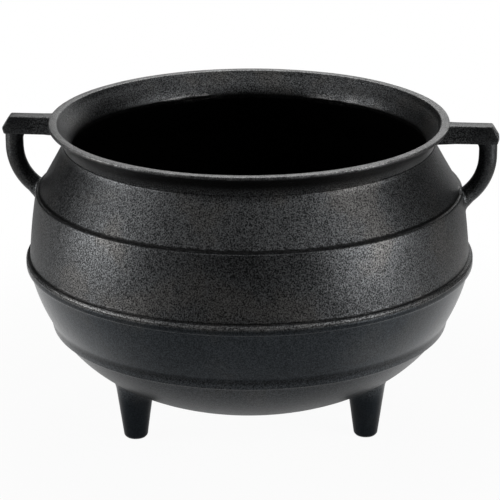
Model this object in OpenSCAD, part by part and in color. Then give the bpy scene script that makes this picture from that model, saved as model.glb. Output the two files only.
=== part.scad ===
// Three-legged cast iron cooking pot with two ear handles. Millimetres, +Z up, floor at z = 0.

/* [Body] */
// Wall thickness
wall = 4.5; // [3.5:0.1:5]
// Outer radius of the belly just above its raised band
belly_r = 113.4; // [100:0.2:130]
// How far the flat belly band stands out of the belly
band_out = 2; // [1.4:0.1:3]
// Height of the belly band
band_h = 5.2; // [4:0.1:7]
// How much the middle belly narrows to its top
middle_taper = 4.2; // [3:0.1:6]
// Height of the middle belly
middle_h = 33.8; // [28:0.1:40]
// Outward bulge of the middle belly
middle_bulge = 0.45; // [0.2:0.05:1]
// Step inwards from the middle belly to the shoulder
shoulder_step = 1.4; // [0.8:0.1:2]
// How much the conical shoulder narrows to its top
shoulder_taper = 12.9; // [10:0.1:15]
// Height of the shoulder
shoulder_h = 23.1; // [19:0.1:27]
// How far the lower belly's top lies inside the belly band
lower_step = 1.6; // [1:0.1:2.2]
// How much the lower belly narrows to its bottom
lower_taper = 9.9; // [8.4:0.1:11.4]
// Height of the lower belly
lower_h = 27; // [23:0.1:31]
// Outward bulge of the lower belly
lower_bulge = 1.1; // [0.5:0.1:1.7]
// How far the lower band's foot stands out past the flank under it
low_band_out = 1.6; // [1.2:0.1:2.2]
// How much the lower band widens to its top
low_band_taper = 1.2; // [0.6:0.1:1.5]
// Height of the lower band
low_band_h = 5.6; // [4.6:0.1:6.6]
// Bevel along the lower band's foot
low_band_edge = 0.7; // [0.4:0.1:1]
// Rounding of the belly band's edges
band_round = 1.3; // [0.8:0.1:1.8]

/* [Neck and rim] */
// Small ledge from the shoulder in to the neck
neck_ledge = 0.6; // [0.3:0.1:1.2]
// How much the neck flares out to its top
neck_flare = 6.3; // [5:0.1:8]
// Height of the neck under the lip
neck_h = 9.9; // [9:0.1:14]
// Depth of the hollow sweep of the neck
neck_sweep = 1; // [0.6:0.1:1.4]
// How far the lip stands out past the neck
lip_out = 1.2; // [0.6:0.1:1.8]
// Width of the flat lip
lip_w = 4.3; // [3.5:0.1:5.5]
// Height of the lip ring
lip_h = 2.4; // [2:0.1:3.5]
// Rounding at the lip's top corner
lip_edge = 0.4; // [0.2:0.1:0.8]

/* [Bowl bottom] */
// Clearance from the floor to the lowest point of the bowl
ground_gap = 13.45; // [12.2:0.05:18.2]
// Step inwards from the lower belly's foot to the top of the flank
flank_step = 3; // [2:0.1:4]
// Height of the flank above the bowl's bottom
flank_h = 20; // [18:0.1:21]
// Radius of the curve from the bottom up into the flank
flank_r = 78.6; // [76:0.2:82]
// Height of that curve's centre above the flank's top
flank_rise = 43.8; // [42:0.1:46]
// Slope in degrees where the shallow bottom meets that curve
bottom_turn = 15.2; // [14.2:0.1:16.2]
// Thickness of the bottom and the flank
base_wall = 4.8; // [4:0.1:5.4]
// Depth of the small flat at the middle of the bowl's floor
floor_flat = 0.15; // [0.1:0.05:0.4]
// Diameter of the ground-off pouring mark under the bowl
gate_d = 18; // [12:1:24]
// Height of the pouring mark
gate_h = 0.7; // [0.4:0.1:1.2]

/* [Legs] */
// How far the legs' axes stand inside the flank's top
leg_inset = 32.5; // [31:0.5:36]
// Turn in degrees of the legs about the pot's axis
leg_turn = 6; // [-8:1:8]
// Leg radius at the foot
foot_r = 6; // [5:0.1:7]
// Leg radius at the top
leg_top_r = 8.8; // [8:0.1:9.5]
// Length of a leg up to its seat
leg_h = 20.6; // [18.4:0.1:20.9]
// Rounding at the foot's edge
foot_round = 1.9; // [1:0.1:2.5]
// Radius of the hollow curve in which a leg runs up into the bowl
leg_fillet = 80; // [60:1:100]
// How far that curve widens before it is inside the bowl
leg_flare = 3; // [2.5:0.1:4.5]

/* [Handles] */
// Depth of the handle bar's top under the rim top
bar_drop = 0.6; // [0.4:0.1:0.9]
// Height of the handle bar
bar_h = 9.4; // [8.4:0.1:10]
// Width of the bar's top face
bar_top_w = 8.3; // [7:0.1:9]
// Width of the bar's bottom face
bar_low_w = 9.8; // [9.5:0.1:11.1]
// Height of the bar's widest point above its bottom
bar_nose_h = 3.3; // [2:0.1:5]
// How far that point stands out past the loop
bar_nose = 1; // [0.4:0.1:1.6]
// How far the bar's end slopes back towards the top
bar_slope = 3.8; // [2:0.1:5]
// Thickness of the round loop
loop_d = 9.4; // [8.2:0.1:9.4]
// Finger room from the rim out to the loop
ear_gap = 14.8; // [13.5:0.05:16]
// Bend radius of the loop at its middle
loop_bend = 27; // [25.8:0.1:28.3]
// How far below the shoulder's foot the loop runs into the body
loop_land = 4.2; // [2.4:0.1:5.4]
// How far the loop's flared root stands out of the body
root_out = 3.4; // [3:0.1:4]
// How much that root widens into the body
root_flare = 2; // [1:0.1:3]
// Depth of that root
root_h = 10; // [9.5:0.1:11]

/* [Hidden] */
$fn = 96;
iron_dark = [0.10, 0.10, 0.11];
iron_warm = [0.17, 0.165, 0.16];
iron_blue = [0.13, 0.135, 0.145];
iron_rim = [0.42, 0.42, 0.42];
leg_count = 3;
leg_step = 360 / leg_count;
front_right_angle = -30;
rear_angle = front_right_angle + leg_step;
front_left_angle = rear_angle + leg_step;
curve_lap = 0.03;
band_r = belly_r + band_out;
lower_r = band_r - lower_step;
lower_foot_r = lower_r - lower_taper;
flank_top_r = lower_foot_r - flank_step;
low_band_r = flank_top_r + low_band_out;
low_band_top_r = low_band_r + low_band_taper;
middle_top_r = belly_r - middle_taper;
shoulder_r = middle_top_r - shoulder_step;
shoulder_top_r = shoulder_r - shoulder_taper;
neck_r = shoulder_top_r - neck_ledge;
neck_top_r = neck_r + neck_flare;
rim_r = neck_top_r + lip_out;
turn_x = flank_top_r - sqrt(pow(flank_r, 2) - pow(flank_rise, 2));
bottom_r = flank_r + turn_x / sin(bottom_turn);
bottom_z = ground_gap + bottom_r;
turn_z = bottom_z - turn_x / tan(bottom_turn);
base_z = turn_z - flank_rise;
flank_z = base_z - flank_h;
lower_z = base_z + low_band_h;
band_z = lower_z + lower_h;
middle_z = band_z + band_h;
shoulder_z = middle_z + middle_h;
neck_z = shoulder_z + shoulder_h;
lip_z = neck_z + neck_h;
top_z = lip_z + lip_h;
in_flank_r = flank_r - base_wall;
in_bottom_r = bottom_r - base_wall;
in_base_r = turn_x + sqrt(pow(in_flank_r, 2) - pow(flank_rise, 2));
in_low_r = (in_base_r + lower_foot_r - wall) / 2;
in_band_r = lower_r - wall;
in_middle_r = belly_r - wall;
shoulder_tilt = atan2(shoulder_taper, shoulder_h);
in_shoulder_r = shoulder_r - wall / cos(shoulder_tilt);
throat_r = neck_r - wall;
in_neck_top_r = neck_top_r - wall;
in_lip_r = rim_r - lip_w;
bar_top_z = top_z - bar_drop;
bar_z = bar_top_z - bar_h;
loop_r = loop_d / 2;
loop_x = rim_r + ear_gap + loop_r;
bar_low_x = loop_x + loop_r;
bar_nose_x = bar_low_x + bar_nose;
bar_root_x = rim_r + 0.2;
bar_start_x = in_lip_r - wall * 2;
bend_x = loop_x - loop_bend;
bend_over_x = loop_bend - (loop_x - middle_top_r);
loop_turn = acos(bend_over_x / norm([loop_bend, root_out])) - atan2(root_out, loop_bend);
bend_z = shoulder_z - loop_land + root_out * cos(loop_turn) + loop_bend * sin(loop_turn);
loop_drop = bar_z - bend_z;
leg_circle_r = flank_top_r - leg_inset;
leg_tilt = atan2(leg_top_r - foot_r, leg_h - foot_round);
boss_out = leg_circle_r + leg_top_r + leg_flare - turn_x;
boss_h = turn_z - sqrt(pow(flank_r, 2) - pow(boss_out, 2)) - leg_h + wall;
reach = 2 * band_r;

// Circle radius for an arc over a chord of length c that rises by b
function arc_r(c, b) = (c * c / 4 + b * b) / (2 * b);

// Half section filled to the axis, from radius r0 at z0 to r1 at z1, bulging out by b
module bulged(z0, z1, r0, r1, b) {
    c = norm([r1 - r0, z1 - z0]);
    k = arc_r(c, b) - b;
    intersection() {
        translate([(r0 + r1) / 2 - (z1 - z0) / c * k, (z0 + z1) / 2 + (r1 - r0) / c * k])
            circle(r = arc_r(c, b), $fn = 240);
        slab_2d(z0, z1);
    }
}

// The same, swept inwards by b
module swept(z0, z1, r0, r1, b) {
    c = norm([r1 - r0, z1 - z0]);
    k = arc_r(c, b) - b;
    difference() {
        polygon([[0, z0], [r0, z0], [r1, z1], [0, z1]]);
        translate([(r0 + r1) / 2 + (z1 - z0) / c * k, (z0 + z1) / 2 - (r1 - r0) / c * k])
            circle(r = arc_r(c, b), $fn = 240);
    }
}

module straight(z0, z1, r0, r1) {
    polygon([[0, z0], [r0, z0], [r1, z1], [0, z1]]);
}

module slab_2d(z0, z1) {
    translate([0, z0])
        square([reach, z1 - z0]);
}

module slab(z0, z1) {
    translate([-reach, -reach, z0])
        cube([2 * reach, 2 * reach, z1 - z0]);
}

// Flat band with rounded edges
module banded(z0, z1, r) {
    slab_core = r - band_round;
    translate([0, z0])
        square([slab_core, z1 - z0]);
    translate([0, z0 + band_round])
        square([r, z1 - z0 - 2 * band_round]);
    translate([slab_core, z0 + band_round])
        circle(r = band_round, $fn = 48);
    translate([slab_core, z1 - band_round])
        circle(r = band_round, $fn = 48);
}

// Bowl filled to the axis: a shallow round bottom, then a tighter curve up into the flank
module bowl_2d(bottom, flank, z0, z1) {
    intersection() {
        translate([0, bottom_z])
            circle(r = bottom, $fn = 180);
        union() {
            translate([turn_x + sin(bottom_turn) * curve_lap, turn_z - cos(bottom_turn) * curve_lap])
                circle(r = flank);
            polygon([
                [0, 0],
                [tan(bottom_turn) * bottom_z, 0],
                [turn_x, turn_z],
                [0, turn_z]
            ]);
        }
        slab_2d(z0, z1);
    }
}

// Handle bar running out along +X from start_x
module bar_run(start_x, end_x) {
    intersection() {
        rotate([90, 0, 0])
            linear_extrude(height = 2 * bar_low_w, center = true)
                polygon([
                    [start_x, bar_z],
                    [min(end_x, bar_low_x), bar_z],
                    [min(end_x, bar_nose_x), bar_z + bar_nose_h],
                    [min(end_x, bar_nose_x - bar_slope), bar_top_z],
                    [start_x, bar_top_z]
                ]);
        rotate([90, 0, 90])
            linear_extrude(height = reach)
                polygon([
                    [-bar_low_w / 2, bar_z],
                    [bar_low_w / 2, bar_z],
                    [bar_top_w / 2, bar_top_z],
                    [-bar_top_w / 2, bar_top_z]
                ]);
    }
}

// Root of a loop, running on from the end of its bend into the body
module loop_root() {
    translate([bend_x, 0, bend_z])
        rotate([0, loop_turn, 0])
            translate([loop_bend, 0, 0])
                rotate([0, 180, 0])
                    cylinder(h = root_h, r1 = loop_r, r2 = loop_r + root_flare);
}

module both_sides() {
    children();
    rotate([0, 0, 180])
        children();
}

module bar_roots() {
    both_sides()
        bar_run(bar_start_x, bar_root_x);
}

module loop_roots() {
    both_sides()
        loop_root();
}

module leg_at(angle) {
    rotate([0, 0, angle + leg_turn])
        translate([leg_circle_r, 0, 0])
            children();
}

// Root of a leg, running up into the bowl's wall
module leg_boss() {
    translate([0, 0, leg_h])
        rotate_extrude($fn = 60)
            difference() {
                square([leg_top_r + leg_flare, boss_h]);
                translate([leg_top_r + leg_fillet * cos(leg_tilt), -leg_fillet * sin(leg_tilt)])
                    circle(r = leg_fillet, $fn = 240);
            }
}

module leg() {
    rotate_extrude($fn = 60) {
        square([foot_r - foot_round, foot_round]);
        intersection() {
            translate([foot_r - foot_round, foot_round])
                circle(r = foot_round, $fn = 48);
            square([foot_r, foot_round]);
        }
        straight(foot_round, leg_h, foot_r, leg_top_r);
    }
}

module handle_bar() {
    bar_run(bar_root_x, reach);
}

module handle_loop() {
    translate([loop_x, 0, bend_z])
        cylinder(h = loop_drop, r = loop_r);
    translate([bend_x, 0, bend_z])
        rotate([-90, 0, 0])
            rotate_extrude(angle = loop_turn)
                translate([loop_bend, 0])
                    circle(r = loop_r);
}

module bowl_bottom() {
    color(iron_blue)
        difference() {
            union() {
                rotate_extrude()
                    bowl_2d(bottom_r, flank_r, 0, flank_z);
                intersection() {
                    for (i = [0 : leg_count - 1])
                        leg_at(front_right_angle + i * leg_step)
                            leg_boss();
                    slab(0, flank_z);
                }
                translate([0, 0, ground_gap - gate_h])
                    cylinder(h = base_wall, d = gate_d);
            }
            rotate_extrude()
                bowl_2d(in_bottom_r, in_flank_r, ground_gap + base_wall + floor_flat, flank_z);
        }
}

module bowl_flank() {
    color(iron_blue)
        difference() {
            rotate_extrude()
                bowl_2d(bottom_r, flank_r, flank_z, base_z);
            rotate_extrude()
                bowl_2d(in_bottom_r, in_flank_r, flank_z, base_z);
        }
}

module lower_band() {
    color(iron_blue)
        difference() {
            rotate_extrude() {
                straight(base_z, base_z + low_band_edge, low_band_r - low_band_edge, low_band_r);
                straight(base_z + low_band_edge, lower_z, low_band_r, low_band_top_r);
            }
            rotate_extrude()
                straight(base_z, lower_z, in_base_r, in_low_r);
        }
}

module lower_belly() {
    color(iron_blue)
        difference() {
            rotate_extrude()
                bulged(lower_z, band_z, lower_foot_r, lower_r, lower_bulge);
            rotate_extrude()
                bulged(lower_z, band_z, in_low_r, in_band_r, lower_bulge);
        }
}

module belly_band() {
    color(iron_warm)
        difference() {
            rotate_extrude()
                banded(band_z, middle_z, band_r);
            rotate_extrude()
                straight(band_z, middle_z, in_band_r, in_middle_r);
        }
}

module middle_belly() {
    color(iron_warm)
        difference() {
            union() {
                rotate_extrude()
                    bulged(middle_z, shoulder_z, belly_r, middle_top_r, middle_bulge);
                intersection() {
                    loop_roots();
                    slab(middle_z, shoulder_z);
                }
            }
            rotate_extrude()
                bulged(middle_z, shoulder_z, in_middle_r, in_shoulder_r, middle_bulge);
        }
}

module shoulder() {
    color(iron_warm)
        difference() {
            union() {
                rotate_extrude()
                    straight(shoulder_z, neck_z, shoulder_r, shoulder_top_r);
                intersection() {
                    loop_roots();
                    slab(shoulder_z, neck_z);
                }
            }
            rotate_extrude()
                straight(shoulder_z, neck_z, in_shoulder_r, throat_r);
        }
}

module neck() {
    color(iron_dark)
        difference() {
            union() {
                rotate_extrude()
                    swept(neck_z, lip_z, neck_r, neck_top_r, neck_sweep);
                intersection() {
                    bar_roots();
                    slab(neck_z, lip_z);
                }
            }
            rotate_extrude()
                swept(neck_z, lip_z, throat_r, in_neck_top_r, neck_sweep);
        }
}

module rim_lip() {
    color(iron_rim)
        difference() {
            union() {
                rotate_extrude() {
                    straight(lip_z, lip_z + lip_out / 2, neck_top_r, rim_r);
                    translate([0, lip_z + lip_out / 2])
                        square([rim_r, lip_h - lip_out / 2 - lip_edge]);
                    straight(top_z - lip_edge, top_z, rim_r, rim_r - lip_edge);
                }
                intersection() {
                    bar_roots();
                    slab(lip_z, top_z);
                }
            }
            rotate_extrude()
                straight(lip_z, top_z, in_neck_top_r, in_lip_r);
        }
}

module left_handle_bar() {
    color(iron_dark)
        rotate([0, 0, 180])
            handle_bar();
}

module left_handle_loop() {
    color(iron_dark)
        rotate([0, 0, 180])
            handle_loop();
}

module right_handle_bar() {
    color(iron_dark)
        handle_bar();
}

module right_handle_loop() {
    color(iron_dark)
        handle_loop();
}

module front_left_leg() {
    color(iron_blue)
        leg_at(front_left_angle)
            leg();
}

module front_right_leg() {
    color(iron_blue)
        leg_at(front_right_angle)
            leg();
}

module rear_leg() {
    color(iron_blue)
        leg_at(rear_angle)
            leg();
}

bowl_bottom();
bowl_flank();
lower_band();
lower_belly();
belly_band();
middle_belly();
shoulder();
neck();
rim_lip();
left_handle_bar();
left_handle_loop();
right_handle_bar();
right_handle_loop();
front_left_leg();
front_right_leg();
rear_leg();
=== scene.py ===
import math

import bmesh
import bpy
from mathutils import Matrix, Vector, noise
from mathutils.bvhtree import BVHTree


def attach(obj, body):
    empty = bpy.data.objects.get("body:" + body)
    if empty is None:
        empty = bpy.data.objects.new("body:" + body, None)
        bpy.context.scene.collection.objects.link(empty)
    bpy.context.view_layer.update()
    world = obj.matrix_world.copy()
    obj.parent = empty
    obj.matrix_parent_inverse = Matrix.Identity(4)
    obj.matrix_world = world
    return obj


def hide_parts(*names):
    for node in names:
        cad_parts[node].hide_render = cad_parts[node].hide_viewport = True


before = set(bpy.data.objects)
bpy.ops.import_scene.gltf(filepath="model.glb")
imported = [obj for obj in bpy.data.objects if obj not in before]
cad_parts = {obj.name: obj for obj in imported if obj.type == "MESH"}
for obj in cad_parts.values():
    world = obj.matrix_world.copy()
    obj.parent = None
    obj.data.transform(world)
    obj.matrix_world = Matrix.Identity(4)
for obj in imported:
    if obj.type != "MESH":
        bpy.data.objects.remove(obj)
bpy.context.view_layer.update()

mm = 0.001
tiny = 1e-7
potBody = "root"

# Each corner of the section: radius, height, how much of it is rounded off, and how far
# the run to the next corner bulges out of the iron. Outside upwards, then inside downwards.
bodySection = {
    "corners": [
        (0.0, 12.75, 0.0, 0.0),
        (9.0, 12.75, 0.3, 0.0),
        (9.0, 13.64, 0.4, 1.336),
        (56.243, 20.954, 0.0, 4.962),
        (100.9, 53.005, 0.6, 0.0),
        (102.5, 53.005, 0.7, 0.0),
        (103.75, 58.605, 1.6, 1.1),
        (113.8, 85.605, 0.5, 0.0),
        (115.3, 85.605, 0.7, 0.0),
        (115.4, 88.1, 1.0, 0.0),
        (115.0, 89.8, 0.8, 0.0),
        (114.2, 90.75, 0.4, 0.0),
        (113.3, 90.805, 0.4, 0.45),
        (109.2, 124.505, 0.7, 0.0),
        (107.7, 124.605, 0.6, 0.0),
        (94.9, 147.2, 2.2, 0.0),
        (94.5, 149.0, 1.4, -0.8),
        (100.6, 157.605, 0.5, 0.0),
        (101.8, 158.205, 0.5, 0.0),
        (101.8, 160.005, 0.45, 0.0),
        (97.5, 160.005, 0.6, 0.0),
        (96.1, 157.605, 0.7, 1.0),
        (89.8, 147.705, 1.4, 0.0),
        (102.65, 124.605, 1.6, -0.45),
        (108.9, 90.805, 1.3, 0.0),
        (109.3, 85.605, 1.3, -1.1),
        (97.216, 58.605, 1.2, 0.0),
        (95.032, 53.005, 1.2, -4.104),
        (54.985, 25.587, 0.0, -1.841),
        (0.0, 18.4, 0.0, 0.0),
    ],
    "inside": 20,        # corner from which the run lies inside the pot
    "ring": 2.2,         # spacing of the rings along the section
    "turns": 288,
    "roundSteps": 4,
    "swell": 0.15,       # how deep the casting waves are, and how long
    "swellLength": 31.0,
    "ripple": 0.05,
    "rippleLength": 8.5,
}

# Node, lower and upper cut, finish
tiers = [
    ("bowl_bottom", None, 33.005, "lower"),
    ("bowl_flank", 33.005, 52.985, "lower"),
    ("lower_band", 52.985, 58.605, "lower"),
    ("lower_belly", 58.605, 85.585, "lower"),
    ("belly_band", 85.585, 90.825, "upper"),
    ("middle_belly", 90.825, 124.625, "upper"),
    ("shoulder", 124.625, 147.705, "upper"),
    ("neck", 147.705, 157.585, "upper"),
    ("rim_lip", 157.585, None, "rim"),
]


def waved(point, normal, waves):
    # Pulls a point into the iron by the slow unevenness of a sand mould
    slow = 0.5 + 0.5 * noise.noise(point / (waves["swellLength"] * mm))
    quick = 0.5 + 0.5 * noise.noise(point / (waves["rippleLength"] * mm) + Vector((7, 3, 5)))
    return point - normal * mm * (waves["swell"] * slow + waves["ripple"] * quick)


def splitRun(edge, start, cuts):
    # Cuts a loose edge into even lengths from its start, and returns the new vertices
    end = edge.other_vert(start)
    fresh = []
    for left in range(cuts + 1, 1, -1):
        other, start = bmesh.utils.edge_split(edge, start, 1 / left)
        edge = edge if end in edge.verts else other
        fresh.append(start)
    return fresh


def bulgeRun(edge, start, height, ring):
    # Splits a run of the section into rings and lifts them onto an arc
    foot = start.co.copy()
    chord = edge.other_vert(start).co - foot
    length = chord.length
    fresh = splitRun(edge, start, max(0, int(length / ring) - 1))
    if not height:
        return
    outward = Vector((chord.z, 0, -chord.x)).normalized()
    radius = (length ** 2 / 4 + height ** 2) / (2 * abs(height))
    for v in fresh:
        along = (v.co - foot).dot(chord) / length - length / 2
        rise = math.sqrt(radius ** 2 - along ** 2) - (radius - abs(height))
        v.co += outward * math.copysign(rise, height)


def spunBody(section):
    bm = bmesh.new()
    order = bm.verts.layers.float.new("order")
    verts = [bm.verts.new(Vector((r, 0, z)) * mm) for r, z, rounding, bulge in section["corners"]]
    for i, v in enumerate(verts):
        v[order] = i
    for i in range(len(verts) - 1):
        edge = bm.edges.new((verts[i], verts[i + 1]))
        bulgeRun(edge, verts[i], section["corners"][i][3] * mm, section["ring"] * mm)
    bmesh.ops.spin(
        bm, geom=bm.verts[:] + bm.edges[:], cent=(0, 0, 0), axis=(0, 0, 1), dvec=(0, 0, 0),
        angle=2 * math.pi, steps=section["turns"], use_merge=True, use_normal_flip=False, use_duplicate=False,
    )
    bmesh.ops.remove_doubles(bm, verts=bm.verts[:], dist=tiny * 10)
    rings = {}
    for r, z, rounding, bulge in section["corners"]:
        if rounding:
            rings.setdefault(rounding, []).append((r * mm, z * mm))
    for rounding, places in rings.items():
        edges = [
            e for e in bm.edges
            if any(
                all(abs(v.co.z - z) < tiny * 20 and abs(v.co.xy.length - r) < tiny * 20 for v in e.verts)
                for r, z in places
            )
        ]
        bmesh.ops.bevel(
            bm, geom=edges, offset=rounding * mm, offset_type="OFFSET", segments=section["roundSteps"],
            profile=0.5, affect="EDGES", clamp_overlap=True, material=-1,
        )
    bmesh.ops.recalc_face_normals(bm, faces=bm.faces[:])
    bm.normal_update()
    moved = [(v, waved(v.co, v.normal, section)) for v in bm.verts]
    for v, place in moved:
        v.co = place
    bm.normal_update()
    skin = bm.verts.layers.float_vector.new("skinNormal")
    for v in bm.verts:
        v[skin] = v.normal
    for f in bm.faces:
        f.smooth = True
        f.material_index = int(sum(v[order] for v in f.verts) / len(f.verts) > section["inside"] + 0.1)
    return bm


def tierMesh(shell, low, high):
    # The shell between two level cuts, with the cut faces closed
    bm = shell.copy()
    for cut, above in ((low, True), (high, False)):
        if cut is None:
            continue
        height = cut * mm
        bmesh.ops.bisect_plane(
            bm, geom=bm.verts[:] + bm.edges[:] + bm.faces[:], dist=tiny, plane_co=(0, 0, height),
            plane_no=(0, 0, 1), clear_inner=above, clear_outer=not above,
        )
        rim = [e for e in bm.edges if e.is_boundary and all(abs(v.co.z - height) < tiny * 20 for v in e.verts)]
        for f in bmesh.ops.bridge_loops(bm, edges=rim)["faces"]:
            f.smooth = False
    return bm


def keepNormals(mesh):
    # Neighbouring tiers share the whole casting's normals, so no seam shows between them
    skin = mesh.attributes["skinNormal"].data
    normals = []
    for face in mesh.polygons:
        for loop in face.loop_indices:
            vertex = mesh.loops[loop].vertex_index
            normals.append(tuple(skin[vertex].vector) if face.use_smooth else tuple(face.normal))
    mesh.normals_split_custom_set(normals)
    mesh.attributes.remove(mesh.attributes["skinNormal"])
    mesh.attributes.remove(mesh.attributes["order"])


def addPiece(name, bm, materials, nodes, creaseAngle=None):
    mesh = bpy.data.meshes.new(name)
    bm.to_mesh(mesh)
    bm.free()
    for material in materials:
        mesh.materials.append(material)
    if creaseAngle is None:
        keepNormals(mesh)
    else:
        mesh.polygons.foreach_set("use_smooth", [True] * len(mesh.polygons))
        mesh.set_sharp_from_angle(angle=math.radians(creaseAngle))
    piece = bpy.data.objects.new(name, mesh)
    bpy.context.scene.collection.objects.link(piece)
    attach(piece, potBody)
    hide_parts(*nodes)
    return piece


class Wire:
    # A socket on which Python's operators add Math nodes
    def __init__(self, graph, socket):
        self.graph = graph
        self.socket = socket

    def maths(self, operation, *values):
        return self.graph.node("ShaderNodeMath", {"operation": operation}, dict(enumerate(values)))

    def __add__(self, other):
        return self.maths("ADD", self, other)

    __radd__ = __add__

    def __sub__(self, other):
        return self.maths("SUBTRACT", self, other)

    def __rsub__(self, other):
        return self.maths("SUBTRACT", other, self)

    def __mul__(self, other):
        return self.maths("MULTIPLY", self, other)

    __rmul__ = __mul__

    def __pow__(self, other):
        return self.maths("POWER", self, other)


class Graph:
    def __init__(self, owner):
        owner.use_nodes = True
        self.tree = owner.node_tree
        self.tree.nodes.clear()

    def node(self, kind, settings=None, inputs=None, output=0):
        made = self.tree.nodes.new(kind)
        for key, value in (settings or {}).items():
            setattr(made, key, value)
        for key, value in (inputs or {}).items():
            if isinstance(value, Wire):
                self.tree.links.new(value.socket, made.inputs[key])
            else:
                made.inputs[key].default_value = value
        return Wire(self, made.outputs[output]) if made.outputs else None

    def place(self):
        # Object coordinates with their parts, and the distance from the pot's axis
        self.spot = self.node("ShaderNodeTexCoord", output="Object")
        parts = self.node("ShaderNodeSeparateXYZ", inputs={0: self.spot}).socket.node
        self.x, self.y, z = [Wire(self, parts.outputs[i]) for i in range(3)]
        return self.spot, z, (self.x * self.x + self.y * self.y) ** 0.5

    def speckle(self, spot, scale, detail, roughness):
        return self.node(
            "ShaderNodeTexNoise", inputs={"Vector": spot, "Scale": scale, "Detail": detail, "Roughness": roughness}
        )

    def ease(self, value, low, high):
        return self.node(
            "ShaderNodeMapRange", {"interpolation_type": "SMOOTHSTEP"},
            {"Value": value, "From Min": low, "From Max": high, "To Min": 0.0, "To Max": 1.0},
        )

    def blend(self, factor, first, second):
        return self.node("ShaderNodeMix", {"data_type": "RGBA"}, {0: factor, 6: first, 7: second}, output=2)

    def bounded(self, value):
        return self.node("ShaderNodeClamp", inputs={0: value})


def grey(value, warm=0.0):
    return (value * (1 + warm), value, value * (1 - warm), 1.0)


# dark and light are the ends of the speckle, contrast how hard it is, grain and fine the relief's depth in mm
ironLooks = {
    "upper": {
        "dark": grey(0.012, -0.03), "light": grey(0.108, -0.03), "contrast": 3.8, "rough": 0.40,
        "grain": 0.068, "fine": 0.020,
    },
    "lower": {
        "dark": grey(0.020, -0.12), "light": grey(0.062, -0.12), "contrast": 3.2, "rough": 0.30,
        "grain": 0.020, "fine": 0.010,
    },
    "bowl": {
        "dark": grey(0.015, -0.09), "light": grey(0.078, -0.09), "contrast": 3.2, "rough": 0.33,
        "grain": 0.042, "fine": 0.012,
    },
    "rim": {
        "dark": grey(0.016, -0.02), "light": grey(0.105, -0.02), "contrast": 3.2, "rough": 0.40,
        "grain": 0.045, "fine": 0.014,
    },
    "handle": {
        "dark": grey(0.018, -0.04), "light": grey(0.062, -0.04), "contrast": 3.0, "rough": 0.36,
        "grain": 0.034, "fine": 0.014,
    },
    "leg": {
        "dark": grey(0.010, -0.18), "light": grey(0.026, -0.18), "contrast": 1.8, "rough": 0.32,
        "grain": 0.012, "fine": 0.006,
    },
    # Darker inside the pot: its seasoned black, with painted shade where little light reaches in
    "inner": {
        "dark": grey(0.006, 0.0), "light": grey(0.020, 0.0), "contrast": 2.0, "rough": 0.34,
        "grain": 0.030, "fine": 0.010,
    },
}
# Painted shade: the near-black that the iron is darkened towards in creases and under the lip
paintedShadeTone = grey(0.004)
# Lighter colour for worn places and for painted highlights
wearAndHighlightLook = {"dark": grey(0.05), "light": grey(0.26), "rough": 0.40}
brownTint = (1.05, 1.0, 0.95, 1.0)
# Seasoned iron hardly scatters light inside: nearly all of it comes off the surface, as on metal
ironSheen = 0.9


def castIron(name, look, towards=None, mask=None, wearAndHighlight=None, paintedShade=None):
    # Sand-cast iron. mask(graph, z, r) leads to the look named by towards. The next two masks give where
    # the colour is painted lighter, as wear in some places and as painted highlights in others, and where painted
    # shade darkens it.
    material = bpy.data.materials.new(name)
    graph = Graph(material)
    spot, z, r = graph.place()
    patches = graph.speckle(spot, 34.0, 3.0, 0.55)
    blotches = graph.speckle(spot, 380.0, 2.0, 0.6)
    grain = graph.speckle(spot, 1450.0, 2.0, 0.6)
    fine = graph.speckle(spot, 2300.0, 1.0, 0.5)
    cells = graph.node(
        "ShaderNodeTexVoronoi", {"feature": "SMOOTH_F1"},
        {"Vector": spot, "Scale": 1200.0, "Smoothness": 0.5, "Randomness": 1.0},
    )
    first, second = ironLooks[look], ironLooks[towards or look]
    share = mask(graph, z, r) if mask else None
    uneven = z + (blotches - 0.5) * 0.0012

    def across(key):
        if share is None:
            return first[key]
        if isinstance(first[key], tuple):
            return graph.blend(share, first[key], second[key])
        return share * (second[key] - first[key]) + first[key]

    tone = graph.bounded(
        (grain - 0.5) * across("contrast") + (blotches - 0.5) * 0.45 + (patches - 0.5) * 0.6 + 0.42
    )
    colour = graph.blend(tone, across("dark"), across("light"))
    colour = graph.node(
        "ShaderNodeMix", {"data_type": "RGBA", "blend_type": "MULTIPLY"},
        {0: graph.ease(patches, 0.48, 0.64), 6: colour, 7: brownTint}, output=2,
    )
    rough = (blotches - 0.5) * 0.10 + (patches - 0.5) * 0.10 + across("rough")
    if wearAndHighlight:
        # Painted lighter: worn in some places, painted highlights in others
        lightened = graph.bounded(wearAndHighlight(graph, uneven, r) * graph.ease((grain + blotches) * 0.5 + patches * 0.3, 0.42, 0.68))
        colour = graph.blend(lightened, colour, graph.blend(tone, wearAndHighlightLook["dark"], wearAndHighlightLook["light"]))
        rough = rough + lightened * (wearAndHighlightLook["rough"] - first["rough"])
    if paintedShade:
        # Painted shade, darkening the colour where the mask says
        colour = graph.blend(graph.bounded(paintedShade(graph, uneven, r)), colour, paintedShadeTone)
    relief = ((grain - 0.5) * 1.5 - (cells - 0.4) * 0.55) * across("grain") + (fine - 0.5) * across("fine")
    relief = relief + (blotches - 0.5) * 0.05
    bump = graph.node("ShaderNodeBump", inputs={"Strength": 1.0, "Distance": 1.0, "Height": relief * mm})
    shader = graph.node(
        "ShaderNodeBsdfPrincipled",
        inputs={
            "Base Color": colour, "Roughness": graph.bounded(rough), "Metallic": ironSheen,
            "Specular IOR Level": 0.2, "Normal": bump,
        },
    )
    graph.node("ShaderNodeOutputMaterial", inputs={"Surface": shader})
    return material


def nearBody(graph, z, r):
    return 1 - graph.ease(r, 0.1095, 0.1180)


def nearBowl(graph, z, r):
    return graph.ease(z, 0.0200, 0.0290)


def lipTop(graph, z, r):
    # Lighter on the lip's top
    return graph.ease(z, 0.15905, 0.15975)


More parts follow.
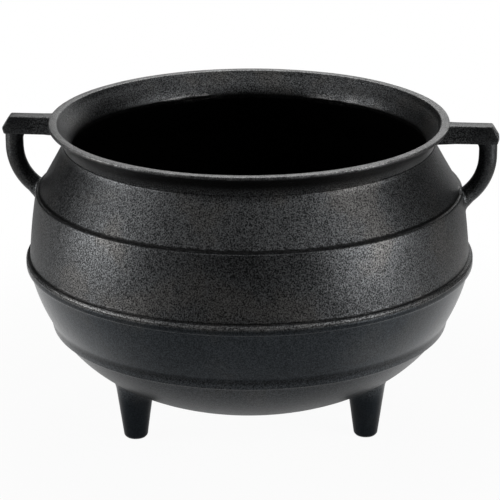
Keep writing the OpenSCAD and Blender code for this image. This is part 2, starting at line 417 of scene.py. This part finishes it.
def pouringMark(graph, z, r):
    return (1 - graph.ease(r, 0.0078, 0.0086)) * (1 - graph.ease(z, 0.01295, 0.01345))


def between(graph, z, low, high, soft):
    return graph.ease(z, low - soft, low + soft) * (1 - graph.ease(z, high - soft, high + soft))


def upperPaintedShade(graph, z, r):
    # Painted shade under the lip, at the foot of the shoulder, over the belly band and on the band's lower face
    neck = graph.ease(z, 0.1480, 0.1545) * (1 - graph.ease(z, 0.1583, 0.1590)) * 0.9
    creases = between(graph, z, 0.1245, 0.1258, 0.0004) * 0.9 + between(graph, z, 0.0907, 0.0916, 0.0004) * 0.85
    return neck + creases + between(graph, z, 0.0868, 0.0880, 0.0004) * 0.35


def lowerPaintedShade(graph, z, r):
    # Painted shade on the lower band's face and where the belly rises from it
    return between(graph, z, 0.0560, 0.0592, 0.0008) * 0.45


def bandFace(graph, z, r):
    return 1 - graph.ease(z, 0.0878, 0.0888)


def bandPaintedHighlights(graph, z, r):
    # Painted highlights: a light bead along the band's upper edge and a thin light line at its foot
    return between(graph, z, 0.0889, 0.0902, 0.0004) * 0.45 + between(graph, z, 0.0854, 0.0860, 0.0003) * 0.4


def barTopAndEnd(graph, z, r):
    # The bar's top is lighter as a painted highlight, and its outer end is lighter as wear
    return graph.ease(z, 0.1586, 0.1592) * 0.55 + graph.ease(r, 0.1240, 0.1266) * graph.ease(z, 0.1500, 0.1510) * 0.3


def lowerBandPaintedHighlight(graph, z, r):
    # Painted highlight: a thin light line along the lower band's foot
    return between(graph, z, 0.0529, 0.0535, 0.0003) * 0.5


def nearMouth(graph, z, r):
    return graph.ease(z, 0.1475, 0.1500)


# Two places at the back of the throat, bright in streaks that run round it: partly wear, partly painted glints
throatWearAndGlintPlaces = [(-0.051, -0.027, 1.0), (0.026, 0.052, 0.6)]


def throatWearAndGlints(graph, z, r):
    # A painted highlight all round the throat's rounded edge, and at the back streaks that are partly wear, partly
    # painted glints
    stretched = graph.node("ShaderNodeVectorMath", {"operation": "MULTIPLY"}, {0: graph.spot, 1: (90.0, 90.0, 950.0)})
    streaks = graph.ease(graph.speckle(stretched, 1.0, 2.0, 0.5), 0.44, 0.60)
    wornAndGlinting = sum(between(graph, graph.x, low, high, 0.007) * strength for low, high, strength in throatWearAndGlintPlaces)
    edge = between(graph, z, 0.1462, 0.1475, 0.0008) * 0.35
    return edge + between(graph, z, 0.1458, 0.1500, 0.0016) * wornAndGlinting * graph.ease(graph.y, 0.0, 0.02) * streaks * 1.6


def belowBelly(graph, z, r):
    return 1 - graph.ease(z, 0.0575, 0.0590)


def footSole(graph, z, r):
    return 1 - graph.ease(z, 0.0003, 0.0012)


iron = {
    "upper": castIron("upperIron", "upper", paintedShade=upperPaintedShade),
    "band": castIron("bandIron", "upper", "lower", bandFace, wearAndHighlight=bandPaintedHighlights, paintedShade=upperPaintedShade),
    "lower": castIron("lowerIron", "lower", "bowl", belowBelly, wearAndHighlight=lowerBandPaintedHighlight, paintedShade=lowerPaintedShade),
    "bottom": castIron("bottomIron", "bowl", wearAndHighlight=pouringMark),
    "rim": castIron("rimIron", "rim", wearAndHighlight=lipTop, paintedShade=upperPaintedShade),
    "handle": castIron("handleIron", "handle", "upper", nearBody, wearAndHighlight=barTopAndEnd),
    "leg": castIron("legIron", "leg", "bowl", nearBowl, wearAndHighlight=footSole),
    "inner": castIron("innerIron", "inner", "upper", nearMouth, wearAndHighlight=throatWearAndGlints),
}
print("materials done")

shell = spunBody(bodySection)
skinTree = BVHTree.FromBMesh(shell)
ownIron = {"bowl_bottom": "bottom", "belly_band": "band"}
for node, low, high, finish in tiers:
    outside = iron[ownIron.get(node, finish)]
    addPiece(node + "_cast", tierMesh(shell, low, high), [outside, iron["inner"]], [node])
print("body done")


def flareRoot(bm, ring, centre, along, slope, cove, spread, steps=5):
    # Carries a ring of edges on to the body, then over a small cove and under its skin, and closes it there
    def spotKey(v):
        return tuple(round(c, 7) for c in v.co)

    keys = {}
    for v in {v for e in ring for v in e.verts}:
        off = v.co - centre
        side = (off - along * off.dot(along)).normalized()
        lead = (along + side * slope).normalized()
        hit, normal, index, distance = skinTree.ray_cast(v.co, lead)
        tangent = (side - normal * side.dot(normal)).normalized()
        begin = hit - lead * min(cove, distance * 0.8)
        landing = skinTree.find_nearest(hit + tangent * spread)[0]
        keys[v] = (v.co.copy(), begin, hit, landing, tangent, normal)
    for step in range(1, 2 * steps + 3):
        out = bmesh.ops.extrude_edge_only(bm, edges=ring)["geom"]
        fresh = {g for g in out if isinstance(g, bmesh.types.BMVert)}
        ring = [g for g in out if isinstance(g, bmesh.types.BMEdge) and set(g.verts) <= fresh]
        lookup = {spotKey(v): path for v, path in keys.items()}
        keys = {v: lookup[spotKey(v)] for v in fresh}
        for v, (first, begin, corner, landing, tangent, normal) in keys.items():
            if step <= steps:
                v.co = first.lerp(begin, step / steps)
            elif step <= 2 * steps:
                t = step / steps - 1
                v.co = begin * (1 - t) ** 2 + corner * 2 * t * (1 - t) + landing * t ** 2
            elif step == 2 * steps + 1:
                v.co = landing + (tangent * 0.9 - normal * 0.16) * mm
            else:
                v.co = landing + (tangent * 0.4 - normal * 1.6) * mm
    bmesh.ops.edgeloop_fill(bm, edges=ring)


def waveAll(bm, waves, flatBelow=None):
    bm.normal_update()
    moved = [(v, waved(v.co, v.normal, waves)) for v in bm.verts]
    for v, place in moved:
        if flatBelow is None or v.co.z > flatBelow:
            v.co = place


smallWaves = {"swell": 0.12, "swellLength": 12.0, "ripple": 0.05, "rippleLength": 4.5}

legs = {
    "circle": 68.4,
    "angles": {"front_right_leg": -24.0, "front_left_leg": 216.0, "rear_leg": 96.0},
    "foot": 6.0,
    "footRound": 1.9,
    "top": 8.8,
    "length": 20.6,
    "cove": 3.6,         # where the leg starts to spread, and how far
    "spread": 2.5,
    "turns": 72,
}


def legMesh(angle, sizes):
    bm = bmesh.new()
    points = [(0, 0), (sizes["foot"], 0), (sizes["top"], sizes["length"])]
    verts = [bm.verts.new(Vector((r, 0, z)) * mm) for r, z in points]
    edges = [bm.edges.new(pair) for pair in zip(verts, verts[1:])]
    splitRun(edges[1], verts[1], 8)
    bmesh.ops.spin(
        bm, geom=bm.verts[:] + bm.edges[:], cent=(0, 0, 0), axis=(0, 0, 1), dvec=(0, 0, 0),
        angle=2 * math.pi, steps=sizes["turns"], use_merge=True, use_normal_flip=False, use_duplicate=False,
    )
    bmesh.ops.remove_doubles(bm, verts=bm.verts[:], dist=tiny * 10)
    sole = [
        e for e in bm.edges
        if all(v.co.z < tiny and abs(v.co.xy.length - sizes["foot"] * mm) < tiny * 20 for v in e.verts)
    ]
    bmesh.ops.bevel(
        bm, geom=sole, offset=sizes["footRound"] * mm, offset_type="OFFSET", segments=6, profile=0.5,
        affect="EDGES", clamp_overlap=True, material=-1,
    )
    turn = math.radians(angle)
    axis = Vector((math.cos(turn), math.sin(turn), 0)) * sizes["circle"] * mm
    bmesh.ops.translate(bm, verts=bm.verts[:], vec=axis)
    ring = [e for e in bm.edges if e.is_boundary]
    slope = (sizes["top"] - sizes["foot"]) / sizes["length"]
    flareRoot(bm, ring, axis, Vector((0, 0, 1)), slope, sizes["cove"] * mm, sizes["spread"] * mm)
    bmesh.ops.recalc_face_normals(bm, faces=bm.faces[:])
    waveAll(bm, smallWaves, flatBelow=0.4 * mm)
    return bm


for node, angle in legs["angles"].items():
    addPiece(node + "_cast", legMesh(angle, legs), [iron["leg"]], [node], creaseAngle=50)
print("legs done")

loopSizes = {
    "thick": 9.4,
    "out": 121.3,
    "barBottom": 150.005,
    "bendRadius": 27.0,
    "bendX": 94.3,
    "bendZ": 143.177,
    "bendTurn": 49.625,
    "slope": 0.16,
    "cove": 2.2,
    "spread": 2.4,
    "armpit": 1.5,
    "turns": 56,
}
barSizes = {
    "bottom": 150.005,
    "top": 159.405,
    "topWidth": 8.3,
    "lowWidth": 9.8,
    "noseZ": 153.305,
    "noseX": 127.0,
    "lowX": 126.0,
    "topX": 123.2,
    "rootLowX": 93.4,
    "rootTopX": 98.9,
    "rimX": 101.8,
    "rootFlare": 0.8,
    "edge": 0.75,
}


def loopMesh(sizes):
    bm = bmesh.new()
    radius = sizes["thick"] / 2
    topZ = sizes["barBottom"] + 1.2
    bmesh.ops.create_circle(
        bm, cap_ends=False, radius=radius * mm, segments=sizes["turns"],
        matrix=Matrix.Translation(Vector((sizes["out"], 0, topZ)) * mm),
    )
    ring = bm.edges[:]
    bmesh.ops.edgeloop_fill(bm, edges=ring)

    def carry(ring, step):
        out = bmesh.ops.extrude_edge_only(bm, edges=ring)["geom"]
        fresh = {g for g in out if isinstance(g, bmesh.types.BMVert)}
        bmesh.ops.translate(bm, verts=list(fresh), vec=step)
        return [g for g in out if isinstance(g, bmesh.types.BMEdge) and set(g.verts) <= fresh]

    upright = 6
    down = (topZ - sizes["bendZ"]) / upright
    for step in range(upright):
        ring = carry(ring, Vector((0, 0, -down)) * mm)
    for v in bm.verts:
        # a small cove on the inner side, where the loop leaves the bar
        height = max(0.0, 1 - (sizes["barBottom"] * mm - v.co.z) / (3.0 * mm))
        inward = max(0.0, (sizes["out"] * mm - v.co.x) / (radius * mm))
        v.co.x -= sizes["armpit"] * mm * min(1.0, height) ** 2 * inward
    out = bmesh.ops.spin(
        bm, geom=ring, cent=Vector((sizes["bendX"], 0, sizes["bendZ"])) * mm, axis=(0, 1, 0), dvec=(0, 0, 0),
        angle=math.radians(sizes["bendTurn"]), steps=22, use_merge=False, use_normal_flip=False, use_duplicate=False,
    )["geom_last"]
    ring = [g for g in out if isinstance(g, bmesh.types.BMEdge)]
    turn = math.radians(sizes["bendTurn"])
    along = Vector((-math.sin(turn), 0, -math.cos(turn)))
    centre = Vector((sizes["bendX"], 0, sizes["bendZ"])) * mm
    centre += Vector((math.cos(turn), 0, -math.sin(turn))) * sizes["bendRadius"] * mm
    flareRoot(bm, ring, centre, along, sizes["slope"], sizes["cove"] * mm, sizes["spread"] * mm)
    bmesh.ops.recalc_face_normals(bm, faces=bm.faces[:])
    waveAll(bm, smallWaves)
    return bm


def barMesh(sizes):
    bm = bmesh.new()
    bmesh.ops.create_cube(bm, size=1.0)
    faces = lambda: bm.verts[:] + bm.edges[:] + bm.faces[:]
    span = sizes["top"] - sizes["bottom"]
    nose = (sizes["noseZ"] - sizes["bottom"]) / span
    bmesh.ops.translate(bm, verts=bm.verts[:], vec=(0.5, 0, 0.5))
    bmesh.ops.bisect_plane(bm, geom=faces(), dist=tiny, plane_co=(0, 0, nose), plane_no=(0, 0, 1))
    for cut in (0.30, 0.36, 0.44, 0.62, 0.80):
        bmesh.ops.bisect_plane(bm, geom=faces(), dist=tiny, plane_co=(cut, 0, 0), plane_no=(1, 0, 0))
    for v in bm.verts:
        share, side, rise = v.co.x, v.co.y * 2, v.co.z
        if rise > nose:
            tip = sizes["noseX"] + (sizes["topX"] - sizes["noseX"]) * (rise - nose) / (1 - nose)
        else:
            tip = sizes["lowX"] + (sizes["noseX"] - sizes["lowX"]) * rise / nose
        root = sizes["rootLowX"] + (sizes["rootTopX"] - sizes["rootLowX"]) * rise
        x = root + (tip - root) * share
        flare = sizes["rootFlare"] * max(0.0, 1 - max(0.0, x - sizes["rimX"] + 1.5) / 5.0) ** 2
        width = (sizes["lowWidth"] + (sizes["topWidth"] - sizes["lowWidth"]) * rise) / 2 + flare
        z = sizes["bottom"] + span * rise - (flare * 0.7 if rise == 0 else 0)
        v.co = Vector((x, side * width, z)) * mm
    bmesh.ops.recalc_face_normals(bm, faces=bm.faces[:])
    bm.normal_update()
    ridges = [e for e in bm.edges if e.calc_face_angle(0) > math.radians(20)]
    bmesh.ops.bevel(
        bm, geom=ridges, offset=sizes["edge"] * mm, offset_type="OFFSET", segments=4, profile=0.5,
        affect="EDGES", clamp_overlap=True, material=-1,
    )
    waveAll(bm, smallWaves)
    return bm


for side, turn in (("right", 0), ("left", math.pi)):
    for part, bm in (("bar", barMesh(barSizes)), ("loop", loopMesh(loopSizes))):
        bmesh.ops.rotate(bm, verts=bm.verts[:], cent=(0, 0, 0), matrix=Matrix.Rotation(turn, 3, "Z"))
        node = side + "_handle_" + part
        addPiece(node + "_cast", bm, [iron["handle"]], [node], creaseAngle=50)
print("handles done")
shell.free()

studio = {
    "floorSize": 3.0,
    "floorGrey": 0.8,
    "nearWhite": 0.95,     # how white the floor is to the camera close to the pot
    "nearMirror": 0.36,    # and in the iron's reflections
    "sideMirror": 1.1,
    "ceiling": 0.84,
}
lamps = [
    # name, degrees from the front, distance, height, width, length, radiance
    ("leftSoftbox", -78.0, 1.35, 0.42, 0.52, 1.10, 3.4),
    ("leftEdge", -56.0, 1.35, 0.42, 0.50, 1.10, 1.7),
    ("leftLow", -76.0, 1.00, 0.17, 0.42, 0.34, 6.6),
    ("rightSoftbox", 61.0, 1.35, 0.42, 0.44, 1.10, 3.0),
    ("rightEdge", 77.0, 1.35, 0.42, 0.34, 1.10, 1.4),
    ("rightLow", 70.0, 1.00, 0.17, 0.50, 0.34, 7.4),
    ("frontTop", 45.0, 0.95, 1.15, 0.90, 0.60, 0.60),
    ("backTop", 180.0, 0.95, 1.15, 0.60, 0.60, 4.5),
    ("backLow", 180.0, 1.35, 0.60, 0.90, 0.40, 1.2),
    ("backRight", 156.0, 1.35, 0.34, 0.44, 0.44, 1.8),
]


def floorMaterial():
    # White to the camera away from the pot, and lit as it is close by, so that the shadow stays
    material = bpy.data.materials.new("paleFloor")
    graph = Graph(material)
    spot, z, r = graph.place()
    path = graph.node("ShaderNodeLightPath").socket.node
    seen = Wire(graph, path.outputs["Is Camera Ray"])
    mirrored = Wire(graph, path.outputs["Is Glossy Ray"])
    far = graph.ease(r, 0.12, 0.34)
    share = seen * (far * (1 - studio["nearWhite"]) + studio["nearWhite"])
    x, y = graph.x, graph.y
    beside = graph.ease(x.maths("ABSOLUTE", x), 0.06, 0.15) * graph.ease(y, -0.17, -0.04)
    beside = beside * (1 - graph.ease(r, 0.26, 0.42)) * studio["sideMirror"]
    share = share + mirrored * graph.bounded((1 - far) * studio["nearMirror"] + beside * (x * 0.8 + 0.9))
    matt = graph.node("ShaderNodeBsdfDiffuse", inputs={"Color": grey(studio["floorGrey"])})
    glow = graph.node("ShaderNodeEmission", inputs={"Color": grey(1.0), "Strength": 1.0})
    mixed = graph.node("ShaderNodeMixShader", inputs={0: share, 1: matt, 2: glow})
    graph.node("ShaderNodeOutputMaterial", inputs={"Surface": mixed})
    return material


floorMesh = bpy.data.meshes.new("floor")
bm = bmesh.new()
bmesh.ops.create_grid(bm, x_segments=1, y_segments=1, size=studio["floorSize"])
bm.to_mesh(floorMesh)
bm.free()
floorMesh.materials.append(floorMaterial())
floor = bpy.data.objects.new("floor", floorMesh)
bpy.context.scene.collection.objects.link(floor)

world = bpy.data.worlds.new("studio")
bpy.context.scene.world = world
graph = Graph(world)
path = graph.node("ShaderNodeLightPath").socket.node
seen = Wire(graph, path.outputs["Is Camera Ray"])
mirrored = Wire(graph, path.outputs["Is Glossy Ray"])
sky = graph.node("ShaderNodeTexCoord", output="Generated")
parts = graph.node("ShaderNodeSeparateXYZ", inputs={0: sky}).socket.node
level = seen + mirrored * graph.ease(Wire(graph, parts.outputs[2]), 0.45, 0.8) * studio["ceiling"]
glow = graph.node("ShaderNodeBackground", inputs={"Color": grey(1.0), "Strength": level})
graph.node("ShaderNodeOutputWorld", inputs={"Surface": glow})

for name, angle, distance, height, width, length, radiance in lamps:
    lamp = bpy.data.lights.new(name, "AREA")
    lamp.shape = "RECTANGLE"
    lamp.size, lamp.size_y = width, length
    lamp.energy = radiance * math.pi * width * length
    holder = bpy.data.objects.new(name, lamp)
    turn = math.radians(angle)
    holder.location = (math.sin(turn) * distance, -math.cos(turn) * distance, height)
    aim = Vector((0, 0, 0.09)) - holder.location
    holder.rotation_euler = aim.to_track_quat("-Z", "Y").to_euler()
    bpy.context.scene.collection.objects.link(holder)

shot = {
    "target": (0.00026, 0.0, 0.0892),
    "distance": 1.167,
    "azimuth": 5.5,
    "elevation": 19.08,
    "lens": 162.1,
    "sensor": 36.0,
    "roll": -0.25,
}
lens = bpy.data.cameras.new("camera")
lens.lens = shot["lens"]
lens.sensor_width = shot["sensor"]
camera = bpy.data.objects.new("camera", lens)
turn, lift = math.radians(shot["azimuth"]), math.radians(shot["elevation"])
back = Vector((math.sin(turn) * math.cos(lift), -math.cos(turn) * math.cos(lift), math.sin(lift)))
place = Matrix.Translation(Vector(shot["target"]) + back * shot["distance"])
aimed = (-back).to_track_quat("-Z", "Y").to_matrix().to_4x4()
camera.matrix_world = place @ aimed @ Matrix.Rotation(math.radians(shot["roll"]), 4, "Z")
bpy.context.scene.collection.objects.link(camera)
bpy.context.scene.camera = camera
bpy.context.scene.view_settings.view_transform = "Standard"
print("studio done")
